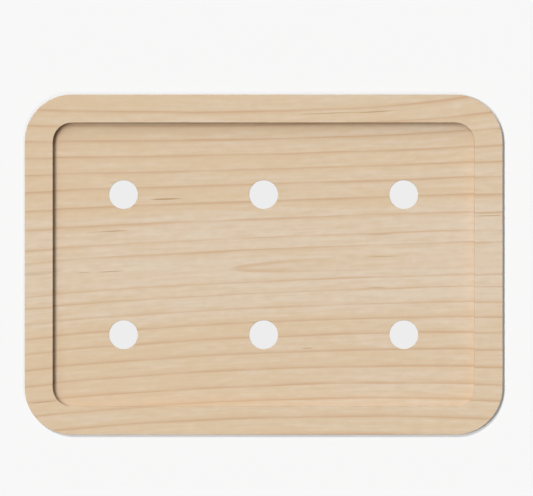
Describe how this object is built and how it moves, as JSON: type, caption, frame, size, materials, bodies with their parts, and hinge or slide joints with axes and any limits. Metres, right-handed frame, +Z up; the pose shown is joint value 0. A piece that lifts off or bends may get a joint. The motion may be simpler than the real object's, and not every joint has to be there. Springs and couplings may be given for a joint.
{
  "type": "activity board",
  "caption": "Rounded rectangular wooden tray with a raised rim around a flat recess for square play tiles, with a push-out hole at the middle of each tile place.",
  "frame": {"origin": "middle of the underside", "axes": "+X along the board's long side, +Y across it, +Z up, out of the recess"},
  "size_m": [0.433, 0.308, 0.0151],
  "materials": {
    "face_veneer": "satin",
    "cross_ply": "satin",
    "inner_ply": "satin"
  },
  "bodies": {
    "root": {"rim_face_veneer": "face_veneer", "rim_upper_crossband": "cross_ply", "rim_core_ply": "inner_ply", "rim_lower_crossband": "cross_ply", "rim_back_veneer": "inner_ply", "floor_face_veneer": "face_veneer", "floor_core_ply": "cross_ply", "floor_back_veneer": "face_veneer"}
  },
  "joints": []
}
